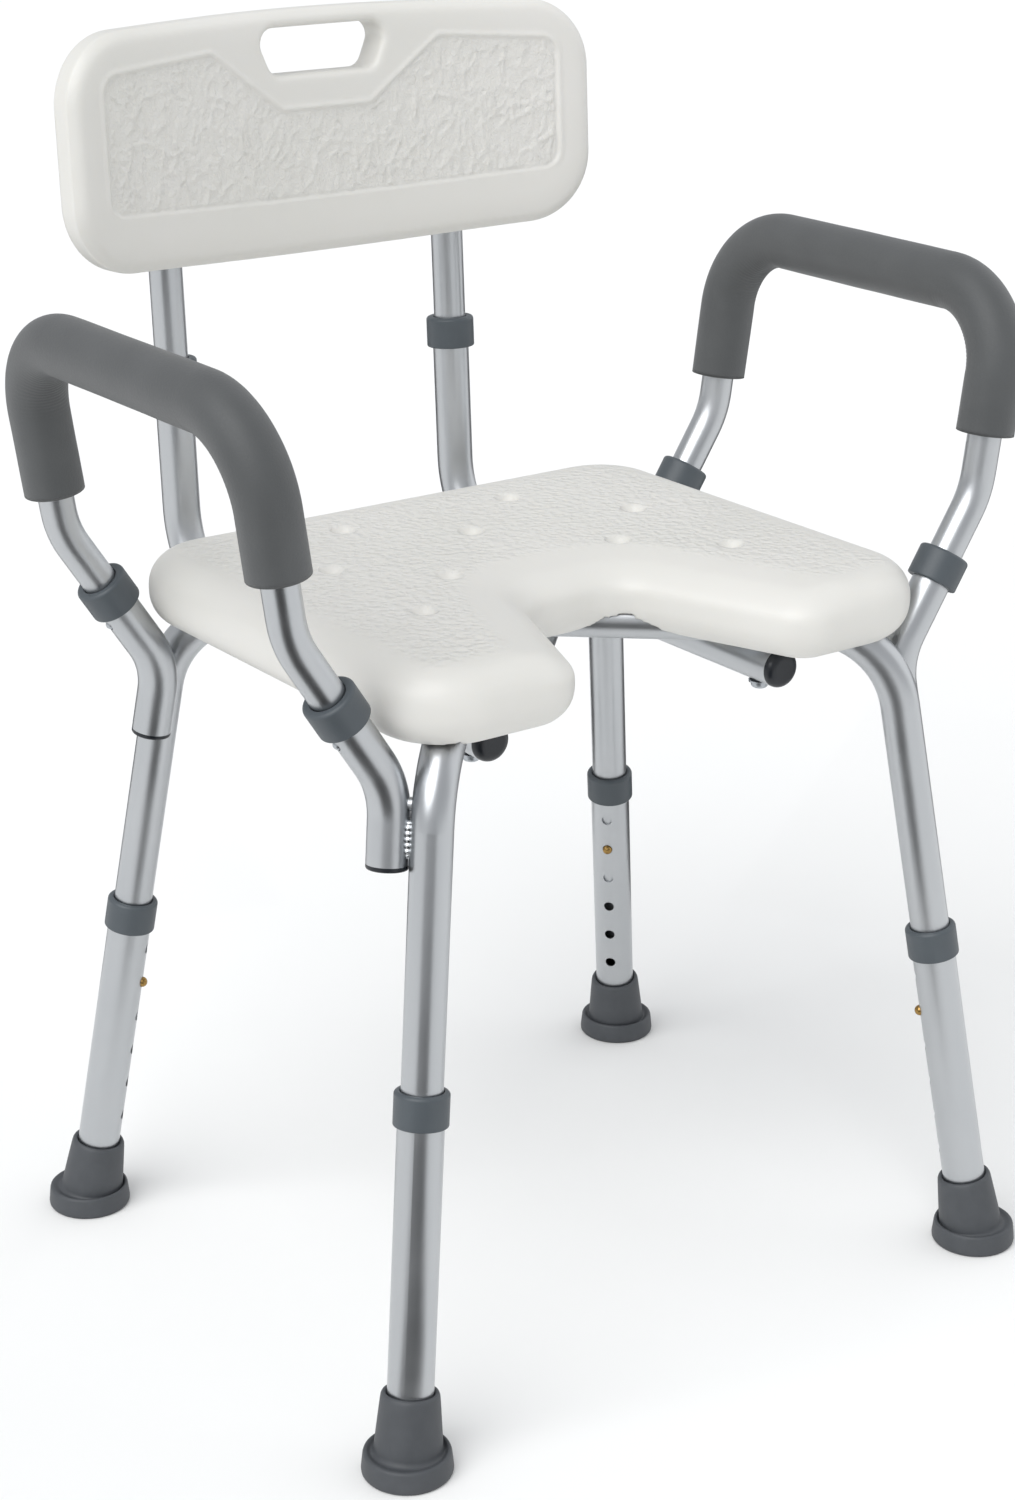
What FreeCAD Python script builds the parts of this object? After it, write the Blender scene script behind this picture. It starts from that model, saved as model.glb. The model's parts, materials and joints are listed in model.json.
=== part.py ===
import FreeCAD, Part
import math
import os
import re
import Sketcher

# Height-adjustable bath chair: blow-moulded seat and backrest on a frame of bent aluminium tubes.
# Millimetres. The front faces -Y, +X is to the right of a front view, and +Z is up. The origin is on the
# floor, under the middle of the chair's plan box.

Vector = FreeCAD.Vector
Rotation = FreeCAD.Rotation
Placement = FreeCAD.Placement
X_AXIS, Y_AXIS, Z_AXIS = Vector(1, 0, 0), Vector(0, 1, 0), Vector(0, 0, 1)
TOUCHING = 0.001

document = FreeCAD.newDocument("bath_chair")
sheet = document.addObject("Spreadsheet::Sheet", "Sizes")

SIZES = {
    # legs and crossed frame tubes
    "leg_overhang": 32.236,  # from the seat's side out to where a leg's axis meets the floor
    "leg_azimuth": 40.46,  # plan angle between the X axis and the diagonal that a leg leans along
    "leg_splay": 10.0,  # lean of a leg from upright
    "beam_height": 433.2,  # axis of the two crossed tubes under the seat
    "frame_od": 25.0,
    "frame_bore": 22.4,
    "frame_bend": 63.0,
    "frame_tip": 135.0,  # from the floor to the frame tube's end, along the leg
    "cross_gap": 0.3,  # between tubes that are bolted one on the other
    "dip_bend": 60.0,  # bends of the lower crossed tube where it passes under the upper one
    "dip_flat": 15.0,  # half length of the low stretch
    "dip_run": 74.0,  # horizontal length of each slope down to it
    # telescopic leg
    "leg_clear": 0.2,  # between the leg tube's bore and the frame tube in it
    "leg_wall": 1.4,
    "leg_foot_end": 12.0,  # floor to the leg tube's lower end, along the leg
    "leg_top": 230.5,
    "hole_bore": 7.5,
    "hole_top": 198.7,  # floor to the uppermost hole, along the leg
    "hole_pitch": 25.4,
    "hole_count": 6,
    "collar_wall": 2.5,
    "collar_skirt": 18.0,  # length of the collar on the outside of its tube
    "collar_rim": 3.0,  # thickness of its lip over the tube's end
    "rim_gap": 0.3,  # lip to the tube that slides through it
    "fit_gap": 0.03,  # plastic pressed on a tube
    "foot_flange": 54.6,
    "foot_flange_high": 14.0,
    "foot_taper": 6.4,  # how much wider the neck is at its foot
    "foot_wall": 3.3,  # rubber round the leg at the neck's top
    "foot_high": 48.0,
    # snap buttons
    "button_od": 7.0,
    "button_out": 3.4,  # stands out of the leg tube
    "arm_button_out": 1.4,  # stands out of a socket or back tube
    "leaf_thick": 0.8,
    "leaf_long": 26.0,
    "leaf_gap": 0.7,
    # arms and their sockets
    "arm_lean": 33.0,  # lean of the arm's lower leg and of its socket
    "arm_rise_lean": 8.2,  # lean of the arm's upright
    "socket_drop": 29.7,  # crossed tubes' axis down to the socket's bend
    "socket_gap": 0.6,  # between the socket and the leg beside it
    "socket_bore": 22.2,
    "socket_bend": 50.0,
    "socket_up": 71.5,  # bend corner to the socket's mouth
    "socket_down": 45.0,  # bend corner to its lower end
    "arm_od": 22.0,
    "arm_bore": 19.4,
    "arm_seat": 21.0,  # bend corner of the socket to the arm's end inside it
    "arm_bend_up": 98.5,  # socket's bend up to the arm's
    "arm_rise": 125.5,  # arm's bend up to the axis of its top
    "arm_knee": 60.0,
    "arm_corner": 52.0,
    "grip_od": 37.0,
    "grip_bore": 22.1,
    "grip_front": 88.0,  # how far the grip reaches down the front upright
    "grip_rear": 101.0,
    "arm_button": 46.0,  # bend corner to the arm's snap button
    "arm_button_od": 6.0,
    "arm_hole_bore": 6.5,
    "weld_low": 40.0,  # bend corner to the lower end of the weld
    "weld_high": 20.0,
    "weld_wide": 8.0,
    "spacer_od": 8.0,
    "spacer_down": 9.0,
    # back frame
    "back_spacing": 111.5,  # chair's middle to each back tube
    "back_front": 113.0,  # front end of the back tube
    "back_rear": 237.9,  # where its two straight runs would meet
    "back_recline": 3.2,
    "back_mouth": 157.0,  # its upright's length, from the run below to the open end
    "back_seat": 92.0,  # the same, to the lower end of the tube inside it
    "back_button": 134.0,
    "post_long": 236.0,  # length of that tube, up into the backrest
    # backrest, measured square to its tubes
    "rest_low": 219.0,  # run below to the backrest's lower edge
    "rest_high": 161.0,
    "rest_wide": 400.0,
    "rest_thick": 27.0,
    "rest_radius": 728.0,  # plan curve of its front face
    "rest_ahead": 29.1,  # tubes' plane to the middle of the front face
    "rest_corner": 46.0,
    "rest_crown": 7.0,  # how much the long edges bulge in their middle
    "rest_crown_bend": 2800.0,
    "rest_edge": 7.5,
    "boss_wide": 30.0,
    "boss_high": 112.0,  # backrest's lower edge to the bosses' tops
    "boss_back": 14.5,
    "boss_corner": 9.0,
    "handle_top": 104.0,
    "handle_bottom": 78.0,
    "handle_low": 118.0,  # backrest's lower edge to the slot's lower edge
    "handle_high": 30.0,
    "handle_corner": 10.0,
    "handle_edge": 4.5,
    "panel_side": 25.0,  # backrest's side to the panel
    "panel_low": 33.0,  # backrest's lower edge to the panel
    "panel_high": 102.0,
    "panel_notch_wide": 174.0,  # the panel's step down round the slot, at its top
    "panel_notch_in": 68.0,  # and at its foot
    "panel_notch_deep": 40.0,
    "panel_corner": 13.0,
    "panel_deep": 1.2,
    # seat
    "seat_wide": 396.0,
    "seat_deep": 337.0,
    "seat_drop": 6.8,  # crossed tubes' axis down to the seat's underside
    "seat_thick": 47.6,
    "seat_front_corner": 52.0,
    "seat_rear_corner": 48.0,
    "seat_edge": 22.0,
    "rim_share": 0.47,  # most of the seat's thickness that one rim's rounding may take
    "mouth_wide": 170.0,  # width of the cut-out at the seat's front edge, before rounding
    "mouth_inner": 74.0,  # its width at the inner end
    "mouth_deep": 126.0,
    "mouth_corner": 34.0,
    "prong_corner": 30.0,
    "dimple_radius": 15.0,
    "dimple_deep": 2.8,
    # bolts
    "bolt_od": 6.0,
    "bolt_hole": 6.6,
    "bolt_head": 11.0,
    "bolt_head_high": 4.0,
    "washer_od": 14.0,
    "washer_thick": 1.2,
    "bolt_in_seat": 14.0,
    # end caps
    "plug_rim": 3.0,
    "plug_dome": 6.0,
    "plug_in": 12.0,
}

# Sizes that follow from others.
DERIVED = {
    "floor_reach": "=(seat_wide / 2 + leg_overhang) / cos(leg_azimuth)",
    "leg_bore": "=frame_od + leg_clear",
    "leg_od": "=leg_bore + 2 * leg_wall",
    "collar_od": "=leg_od + 2 * collar_wall",
    "foot_neck_top": "=leg_od + 2 * foot_wall",
    "foot_neck_low": "=foot_neck_top + foot_taper",
    "socket_high": "=beam_height - socket_drop",
    "socket_side": "=frame_od + socket_gap",
    "arm_bend_high": "=socket_high + arm_bend_up",
    "arm_top": "=arm_bend_high + arm_rise",
    "shoulder": "=floor_reach - beam_height * tan(leg_splay)",
    "bend_start": "=shoulder - frame_bend * tan((90 - leg_splay) / 2)",
    "bend_fall": "=sqrt((frame_bend + frame_od / 2) ^ 2 - (frame_bend - seat_drop) ^ 2)",
    "channel_long": "=bend_start + bend_fall + rim_gap",
    "panel_wide": "=rest_wide - 2 * panel_side",
    "seat_low": "=beam_height - seat_drop",
    "seat_rim": "=min(seat_edge; rim_share * seat_thick)",
}

for row, (alias, content) in enumerate([*SIZES.items(), *DERIVED.items()], start=1):
    sheet.set(f"A{row}", alias)
    sheet.set(f"B{row}", str(content))
    sheet.setAlias(f"B{row}", alias)
document.recompute()

ALIASES = re.compile(r"\b(" + "|".join([*SIZES, *DERIVED]) + r")\b")


def bound(expression):
    """The expression with each size's name turned into a reference to its cell."""
    return ALIASES.sub(r"Sizes.\1", str(expression))


def size(expression):
    """The expression's value now."""
    return float(sheet.evalExpression(bound(expression)))


# ---- helpers for sketches and features ------------------------------------------------------------


def new_body(label):
    body = document.addObject("PartDesign::Body", label)
    body.Label = label
    return body


def new_sketch(body, plane, name, lift="0"):
    """A sketch on one of the body's origin planes, or parallel to it at the distance lift."""
    sketch = body.newObject("Sketcher::SketchObject", name)
    face = next(f for f in body.Origin.OriginFeatures if f.Role == plane)
    sketch.AttachmentSupport = [(face, "")]
    sketch.MapMode = "FlatFace"
    sketch.setExpression("AttachmentOffset.Base.z", bound(lift))
    return sketch


def place_point(sketch, geometry, end, x, y):
    """Ties a sketch point to two expressions, measured from the sketch's origin."""
    for kind, expression in (("DistanceX", x), ("DistanceY", y)):
        number = size(expression)
        if number < 0:
            which = sketch.addConstraint(Sketcher.Constraint(kind, geometry, end, -1, 1, -number))
            sketch.setExpression(f"Constraints[{which}]", bound(f"-({expression})"))
        else:
            which = sketch.addConstraint(Sketcher.Constraint(kind, -1, 1, geometry, end, number))
            sketch.setExpression(f"Constraints[{which}]", bound(expression))


def draw_circle(sketch, diameter, x="0", y="0"):
    centre = Vector(size(x), size(y), 0)
    ring = sketch.addGeometry(Part.Circle(centre, Z_AXIS, size(diameter) / 2), False)
    place_point(sketch, ring, 3, x, y)
    which = sketch.addConstraint(Sketcher.Constraint("Diameter", ring, size(diameter)))
    sketch.setExpression(f"Constraints[{which}]", bound(diameter))


def draw_path(sketch, corners, bends, closed=False):
    """Straight runs between the corners, with a tangent arc at each, or a sharp corner where bend is None."""
    points = [Vector(size(x), size(y), 0) for x, y in corners]
    count = len(points)
    leave, arrive, arcs = list(points), list(points), {}
    for i in range(count):
        if not bends[i]:
            continue
        back = (points[i - 1] - points[i]).normalize()
        ahead = (points[(i + 1) % count] - points[i]).normalize()
        half_turn = back.getAngle(ahead) / 2
        radius = size(bends[i])
        arrive[i] = points[i] + back * (radius / math.tan(half_turn))
        leave[i] = points[i] + ahead * (radius / math.tan(half_turn))
        centre = points[i] + (back + ahead).normalize() * (radius / math.sin(half_turn))
        turns_left = ahead.cross(back).z > 0
        ends = (arrive[i], leave[i]) if turns_left else (leave[i], arrive[i])
        first, last = (math.atan2(p.y - centre.y, p.x - centre.x) for p in ends)
        last += 2 * math.pi if last < first else 0
        arcs[i] = Part.ArcOfCircle(Part.Circle(centre, Z_AXIS, radius), first, last), turns_left
    lines = {}
    for i in range(count if closed else count - 1):
        line = Part.LineSegment(leave[i], arrive[(i + 1) % count])
        lines[i] = sketch.addGeometry(line, False)
    for i in range(count):
        x, y = corners[i]
        before, after = lines.get((i - 1) % count), lines.get(i)
        if i in arcs:
            curve, turns_left = arcs[i]
            arc = sketch.addGeometry(curve, False)
            first, last = (1, 2) if turns_left else (2, 1)
            sketch.addConstraint(Sketcher.Constraint("Tangent", before, 2, arc, first))
            sketch.addConstraint(Sketcher.Constraint("Tangent", arc, last, after, 1))
            which = sketch.addConstraint(Sketcher.Constraint("Radius", arc, size(bends[i])))
            sketch.setExpression(f"Constraints[{which}]", bound(bends[i]))
            knot = sketch.addGeometry(Part.Point(points[i]), True)
            place_point(sketch, knot, 1, x, y)
            sketch.addConstraint(Sketcher.Constraint("PointOnObject", knot, 1, before))
            sketch.addConstraint(Sketcher.Constraint("PointOnObject", knot, 1, after))
        elif before is None or after is None:
            line, end = (before, 2) if after is None else (after, 1)
            place_point(sketch, line, end, x, y)
        else:
            sketch.addConstraint(Sketcher.Constraint("Coincident", before, 2, after, 1))
            place_point(sketch, after, 1, x, y)


def pad(body, sketch, length, both_ways=False):
    feature = body.newObject("PartDesign::Pad", "Pad")
    feature.Profile = sketch
    feature.setExpression("Length", bound(length))
    feature.Midplane = both_ways
    return feature


def straight_tube(label, outside, bore, low, high):
    """A tube along Z, from the height low to the height high."""
    body = new_body(label)
    ring = new_sketch(body, "XY_Plane", "Ring", low)
    draw_circle(ring, outside)
    draw_circle(ring, bore)
    pad(body, ring, f"({high}) - ({low})")
    return body


def bent_tube(label, plane, corners, bends, outside, bore):
    """A tube swept along a flat path of straight runs and tangent bends."""
    body = new_body(label)
    spine = new_sketch(body, plane, "Spine")
    draw_path(spine, corners, bends)
    document.recompute()
    ring = body.newObject("Sketcher::SketchObject", "Ring")
    ring.AttachmentSupport = [(spine, "Edge1")]
    ring.MapMode = "NormalToEdge"
    ring.MapPathParameter = 0
    draw_circle(ring, outside)
    draw_circle(ring, bore)
    document.recompute()
    pipe = body.newObject("PartDesign::AdditivePipe", "Pipe")
    pipe.Profile = ring
    pipe.Spine = (spine, [f"Edge{n}" for n in range(1, len(spine.Shape.Edges) + 1)])
    return body


def turned(label, corners, bends):
    """A ring or disc turned about Z from its half section, whose corners are (radius, height)."""
    body = new_body(label)
    section = new_sketch(body, "XZ_Plane", "HalfSection")
    draw_path(section, corners, bends, closed=True)
    turn = body.newObject("PartDesign::Revolution", "Turn")
    turn.Profile = section
    turn.ReferenceAxis = (section, ["V_Axis"])
    turn.Angle = 360
    return body


def cylinder(name, diameter, length, place):
    rod = document.addObject("Part::Cylinder", name)
    rod.setExpression("Radius", bound(f"({diameter}) / 2"))
    rod.setExpression("Height", bound(length))
    rod.Placement = place
    return rod


def joined(name, pieces):
    together = document.addObject("Part::MultiFuse", name)
    together.Shapes = pieces
    return together


def cut(label, base, tools):
    """The base with the tools taken away."""
    group = document.addObject("Part::Compound", label + "_tools")
    group.Links = tools
    result = document.addObject("Part::Cut", label)
    result.Base = base
    result.Tool = group
    result.Label = label
    return result


def along(origin, direction):
    """A placement at origin whose Z axis points along direction."""
    return Placement(origin, Rotation(Z_AXIS, direction))


nodes = []


def keep(label, piece):
    piece.Label = label
    nodes.append(piece)
    return piece


# ---- where things stand ---------------------------------------------------------------------------

CORNERS = {
    "front_left": (-1, -1),
    "front_right": (1, -1),
    "rear_left": (-1, 1),
    "rear_right": (1, 1),
}
SIDES = {"left": -1, "right": 1}


LOWER_LEVEL = "beam_height - frame_od - cross_gap"
FRONT_REACH = "floor_reach * sin(leg_azimuth) + foot_flange / 2"
REAR_REACH = "back_rear + boss_back * cos(back_recline) + (rest_low + boss_high) * sin(back_recline)"

# The legs' middle is ahead of the origin by half of what the backrest overhangs.
CHAIR = Placement(Vector(0, size(f"({FRONT_REACH} - ({REAR_REACH})) / 2"), 0), Rotation())


def leg_heading(corner):
    """Plan angle, in degrees, of the diagonal from the chair's middle out through a corner's foot."""
    across, along_y = CORNERS[corner]
    azimuth = math.radians(size("leg_azimuth"))
    return math.degrees(math.atan2(along_y * math.sin(azimuth), across * math.cos(azimuth)))


def leg_frame(corner):
    """Frame of a leg: origin on the floor, Z up its axis, X leaning outward along its diagonal."""
    turn = Rotation(Z_AXIS, leg_heading(corner))
    foot = turn.multVec(Vector(size("floor_reach"), 0, 0))
    return CHAIR * Placement(foot, turn * Rotation(Y_AXIS, -size("leg_splay")))


def arm_direction(side):
    """Up the arm's lower leg."""
    lean = math.radians(size("arm_lean"))
    return Vector(SIDES[side] * math.sin(lean), 0, math.cos(lean))


def socket_corner(corner):
    """The socket's bend, beside the leg on the side nearer the chair's left or right edge."""
    across, along_y = CORNERS[corner]
    up_leg = size("socket_high / cos(leg_splay)")
    return leg_frame(corner).multVec(Vector(0, -across * along_y * size("socket_side"), up_leg))


def socket_frame(corner):
    """Frame of a socket: origin at its bend, Z up along the leg, and the arm in the plane of X and Z."""
    side = "left" if "left" in corner else "right"
    up = leg_frame(corner).Rotation.multVec(Z_AXIS)
    sideways = up.cross(arm_direction(side)).normalize()
    return Placement(socket_corner(corner), Rotation(sideways.cross(up), sideways, up, "ZYX"))


def back_frame(across):
    """Frame of a back post, or of the backrest at 0 across: Z up the upright, origin at the tubes' bend."""
    knee = Vector(across * size("back_spacing"), size("back_rear"), size(LOWER_LEVEL))
    return CHAIR * Placement(knee, Rotation(X_AXIS, -size("back_recline")))


# ---- snap buttons ---------------------------------------------------------------------------------


def snap_button(label, place, inner_bore, outer_tube, head, hole, stands_out):
    """A domed pin on a folded leaf spring in the inner tube. It points along -X and is pressed along +X."""
    leaf_wide = f"({head} + 1)"
    face = f"(sqrt(pow(({inner_bore}) / 2; 2) - pow({leaf_wide} / 2; 2)) - leaf_gap)"
    travel = f"(({outer_tube}) / 2 + {stands_out} - ({inner_bore}) / 2)"
    far = f"({face} - {travel})"
    leaf = new_body(label + "_leaf")
    outline = new_sketch(leaf, "XZ_Plane", "LeafOutline")
    top, fold = f"({hole}) / 2 + 3", "-leaf_long"
    corners = [
        (f"-{face}", top),
        (f"-{face}", fold),
        (far, fold),
        (far, top),
        (f"{far} - leaf_thick", top),
        (f"{far} - leaf_thick", f"{fold} + leaf_thick"),
        (f"leaf_thick - {face}", f"{fold} + leaf_thick"),
        (f"leaf_thick - {face}", top),
    ]
    outer_fold, inner_fold = "leaf_thick + 2", "2"
    draw_path(
        outline,
        corners,
        [None, outer_fold, outer_fold, None, None, inner_fold, inner_fold, None],
        closed=True,
    )
    pad(leaf, outline, leaf_wide, both_ways=True)
    pin = new_body(label + "_pin")
    section = new_sketch(pin, "XY_Plane", "PinSection")
    radius = f"({head}) / 2"
    reach = f"(({outer_tube}) / 2 + {stands_out})"
    draw_path(
        section,
        [
            (f"-{reach}", "0"),
            (f"-{reach}", radius),
            (f"0.2 - {face}", radius),
            (f"0.2 - {face}", "0"),
        ],
        [None, f"{radius} - 0.05", None, None],
        closed=True,
    )
    turn = pin.newObject("PartDesign::Revolution", "Turn")
    turn.Profile = section
    turn.ReferenceAxis = (section, ["H_Axis"])
    turn.Angle = 360
    both = joined(label, [leaf, pin])
    both.Placement = place
    return keep(label, both)


def small_button(label, place):
    """The snap button of an arm or a back post, which catches in a frame tube."""
    snap_button(
        label, place, "arm_bore", "frame_od", "arm_button_od", "arm_hole_bore", "arm_button_out"
    )


# ---- crossed frame tubes --------------------------------------------------------------------------

TIP = ("floor_reach - frame_tip * sin(leg_splay)", "frame_tip * cos(leg_splay)")


def bolt_places():
    """Plan positions of the bolts: at the crossing, and where the back tubes pass under the crossed tubes."""
    out, back = size("back_spacing"), size("back_spacing * tan(leg_azimuth)")
    spots = [(0, 0)] + [(across * out, along_y * back) for across, along_y in CORNERS.values()]
    return [CHAIR.multVec(Vector(x, y, 0)) for x, y in spots]


def bolt_holes(name):
    lift = Vector(0, 0, size(f"{LOWER_LEVEL} - frame_od"))
    return [
        cylinder(f"{name}_bolt_hole", "bolt_hole", "3 * frame_od", Placement(spot + lift, Rotation()))
        for spot in bolt_places()
    ]


def button_hole(name, frame, height, bore, depth):
    """A hole through the wall on a leg's or post's -X side."""
    start = frame.multVec(Vector(0, 0, size(height)))
    inward = frame.Rotation.multVec(X_AXIS * -1)
    return cylinder(name + "_button_hole", bore, depth, along(start, inward))


BUTTON_HEIGHT = "hole_top - hole_pitch"


def cross_tube(label, corner, opposite, dips):
    """Two opposite legs' upper halves and the run between them under the seat, in one upright plane."""
    left = (f"-({TIP[0]})", TIP[1])
    corners = [TIP, ("shoulder", "beam_height")]
    bends = [None, "frame_bend"]
    if dips:
        for at in ("dip_flat + dip_run", "dip_flat", "-dip_flat", "-(dip_flat + dip_run)"):
            level = LOWER_LEVEL if at in ("dip_flat", "-dip_flat") else "beam_height"
            corners.append((at, level))
            bends.append("dip_bend")
    corners += [("-shoulder", "beam_height"), left]
    bends += ["frame_bend", None]
    tube = bent_tube(label + "_bare", "XZ_Plane", corners, bends, "frame_od", "frame_bore")
    tube.Placement = CHAIR * Placement(Vector(), Rotation(Z_AXIS, leg_heading(corner)))
    holes = bolt_holes(label)
    for end in (corner, opposite):
        holes.append(button_hole(label, leg_frame(end), BUTTON_HEIGHT, "hole_bore", "frame_od"))
    return keep(label, cut(label, tube, holes))


upper_tube = cross_tube("cross_tube_upper", "front_right", "rear_left", dips=False)
lower_tube = cross_tube("cross_tube_lower", "front_left", "rear_right", dips=True)


# ---- telescopic legs ------------------------------------------------------------------------------


def tube_collar(label, place, tube, slider, mouth):
    """A moulded ring pressed over a tube's open end, with a lip round the tube that slides in it."""
    inside, lip = f"({tube}) / 2 + fit_gap", f"({slider}) / 2 + rim_gap"
    outside = "collar_od / 2"
    corners = [
        (inside, f"{mouth} - collar_skirt"),
        (outside, f"{mouth} - collar_skirt"),
        (outside, f"{mouth} + collar_rim"),
        (lip, f"{mouth} + collar_rim"),
        (lip, f"{mouth} + fit_gap"),
        (inside, f"{mouth} + fit_gap"),
    ]
    ring = turned(label, corners, [None, "1", "2.4", "0.8", None, None])
    ring.Placement = place
    return keep(label, ring)


def leg_tube(label, corner):
    tube = straight_tube(label, "leg_od", "leg_bore", "leg_foot_end", "leg_top")
    first = new_sketch(tube, "YZ_Plane", "TopHole")
    draw_circle(first, "hole_bore", "0", "hole_top")
    hole = tube.newObject("PartDesign::Pocket", "Hole")
    hole.Profile = first
    hole.setExpression("Length", bound("leg_od"))
    document.recompute()
    row = tube.newObject("PartDesign::LinearPattern", "HoleRow")
    row.Originals = [hole]
    down = next(f for f in tube.Origin.OriginFeatures if f.Role == "Z_Axis")
    row.Direction = (down, [""])
    row.Reversed = True
    row.setExpression("Length", bound("(hole_count - 1) * hole_pitch"))
    row.setExpression("Occurrences", bound("hole_count"))
    tube.Tip = row
    tube.Placement = leg_frame(corner)
    return keep(label, tube)


def rubber_foot(label, corner):
    """A ferrule: a neck along the leg, on a flange that lies flat on the floor."""
    frame = leg_frame(corner)
    neck = turned(
        label + "_neck",
        [
            ("0", "foot_flange_high / 2"),
            ("foot_neck_low / 2", "foot_flange_high / 2"),
            ("foot_neck_top / 2", "foot_high"),
            ("0", "foot_high"),
        ],
        [None, None, "1.6", None],
    )
    neck.Placement = frame
    flange = turned(
        label + "_flange",
        [
            ("0", "0"),
            ("foot_flange / 2", "0"),
            ("foot_flange / 2 - 1.2", "foot_flange_high - 4"),
            ("foot_neck_low / 2 + 1", "foot_flange_high"),
            ("0", "foot_flange_high"),
        ],
        [None, "1", "2.4", None, None],
    )
    flange.Placement = Placement(frame.Base, Rotation())
    bore = cylinder(
        label + "_bore",
        "leg_od + 2 * fit_gap",
        "foot_high",
        frame * Placement(Vector(0, 0, size("leg_foot_end - fit_gap")), Rotation()),
    )
    return keep(label, cut(label, joined(label + "_body", [neck, flange]), [bore]))


for corner in CORNERS:
    frame = leg_frame(corner)
    leg_tube(f"leg_tube_{corner}", corner)
    tube_collar(f"leg_collar_{corner}", frame, "leg_od", "frame_od", "leg_top")
    rubber_foot(f"foot_{corner}", corner)
    button_place = frame * Placement(Vector(0, 0, size(BUTTON_HEIGHT)), Rotation())
    snap_button(
        f"leg_button_{corner}", button_place, "frame_bore", "leg_od", "button_od", "hole_bore", "button_out"
    )


# ---- arm sockets ----------------------------------------------------------------------------------

SOCKET_TURN = "acos(cos(arm_lean) * cos(leg_splay) - sin(arm_lean) * sin(leg_splay) * cos(leg_azimuth))"


def arm_socket(label, corner, frame_tube):
    """The short bent tube that an arm's leg drops into, welded beside the leg with a spacer over the weld."""
    place = socket_frame(corner)
    tube = bent_tube(
        label + "_bare",
        "XZ_Plane",
        [
            ("0", "-socket_down"),
            ("0", "0"),
            (f"socket_up * sin({SOCKET_TURN})", f"socket_up * cos({SOCKET_TURN})"),
        ],
        [None, "socket_bend", None],
        "frame_od",
        "socket_bore",
    )
    tube.Placement = place
    leg = leg_frame(corner)
    across, along_y = CORNERS[corner]
    towards = -across * along_y
    up_leg = size("socket_high / cos(leg_splay)")
    inner = size("frame_od / 2 - 1")
    reach = size("socket_side - frame_od + 2")
    weld = document.addObject("Part::Box", label + "_weld")
    weld.setExpression("Length", bound("weld_wide"))
    weld.setExpression("Width", bound("socket_side - frame_od + 2"))
    weld.setExpression("Height", bound("weld_low - weld_high"))
    near = inner if towards > 0 else -inner - reach
    weld.Placement = leg * Placement(
        Vector(-size("weld_wide / 2"), near, up_leg - size("weld_low")), Rotation()
    )
    spacer_start = Vector(0, towards * inner, up_leg - size("spacer_down"))
    spacer = cylinder(
        label + "_spacer",
        "spacer_od",
        "socket_side - frame_od + 2",
        leg * Placement(spacer_start, Rotation(Z_AXIS, Vector(0, towards, 0))),
    )
    whole = joined(label + "_whole", [tube, weld, spacer])
    side = "left" if "left" in corner else "right"
    up = arm_direction(side)
    hole = cylinder(
        label + "_hole",
        "arm_hole_bore",
        "frame_od",
        along(place.Base + up * size("arm_button"), arm_outward(side)),
    )
    return keep(label, cut(label, whole, [frame_tube, hole]))


def arm_outward(side):
    """Square to the arm's lower leg, outward and down: where its button points."""
    lean = math.radians(size("arm_lean"))
    return Vector(SIDES[side] * math.cos(lean), 0, -math.sin(lean))


def end_plug(label, place, tube, bore, domed):
    """A moulded cap pushed into a tube's end, with its rim over the tube's edge. Its rim points along -Z."""
    height = "plug_dome" if domed else "plug_rim"
    corner = f"{height} - 0.2" if domed else "1.4"
    cap = turned(
        label,
        [
            ("0", f"-({height})"),
            (f"({tube}) / 2", f"-({height})"),
            (f"({tube}) / 2", "-fit_gap"),
            (f"({bore}) / 2 - fit_gap", "-fit_gap"),
            (f"({bore}) / 2 - fit_gap", "plug_in"),
            ("0", "plug_in"),
        ],
        [None, corner, None, None, "1", None],
    )
    cap.Placement = place
    return keep(label, cap)


for corner in CORNERS:
    side = "left" if "left" in corner else "right"
    frame_tube = upper_tube if corner in ("front_right", "rear_left") else lower_tube
    arm_socket(f"arm_socket_{corner}", corner, frame_tube)
    place = socket_frame(corner)
    mouth_axis = along(place.Base, arm_direction(side))
    tube_collar(f"socket_collar_{corner}", mouth_axis, "frame_od", "arm_od", "socket_up")
    lower_end = place * Placement(Vector(0, 0, -size("socket_down")), Rotation())
    end_plug(f"socket_plug_{corner}", lower_end, "frame_od", "socket_bore", domed=False)


# ---- arms and grips -------------------------------------------------------------------------------


def bent_wire(points, bends):
    """The path through the points, with a tangent arc at each inner point."""
    edges, start = [], points[0]
    for i in range(1, len(points) - 1):
        back = (points[i - 1] - points[i]).normalize()
        ahead = (points[i + 1] - points[i]).normalize()
        half_turn = back.getAngle(ahead) / 2
        arrive = points[i] + back * (bends[i - 1] / math.tan(half_turn))
        leave = points[i] + ahead * (bends[i - 1] / math.tan(half_turn))
        depth = bends[i - 1] / math.sin(half_turn) - bends[i - 1]
        middle = points[i] + (back + ahead).normalize() * depth
        edges.append(Part.LineSegment(start, arrive).toShape())
        edges.append(Part.Arc(arrive, middle, leave).toShape())
        start = leave
    edges.append(Part.LineSegment(start, points[-1]).toShape())
    return Part.Wire(edges)


def swept(points, bends, diameter):
    """A round bar along the path."""
    ring = Part.Wire([Part.makeCircle(diameter / 2, points[0], points[1] - points[0])])
    return bent_wire(points, bends).makePipeShell([ring], True, False)


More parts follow.
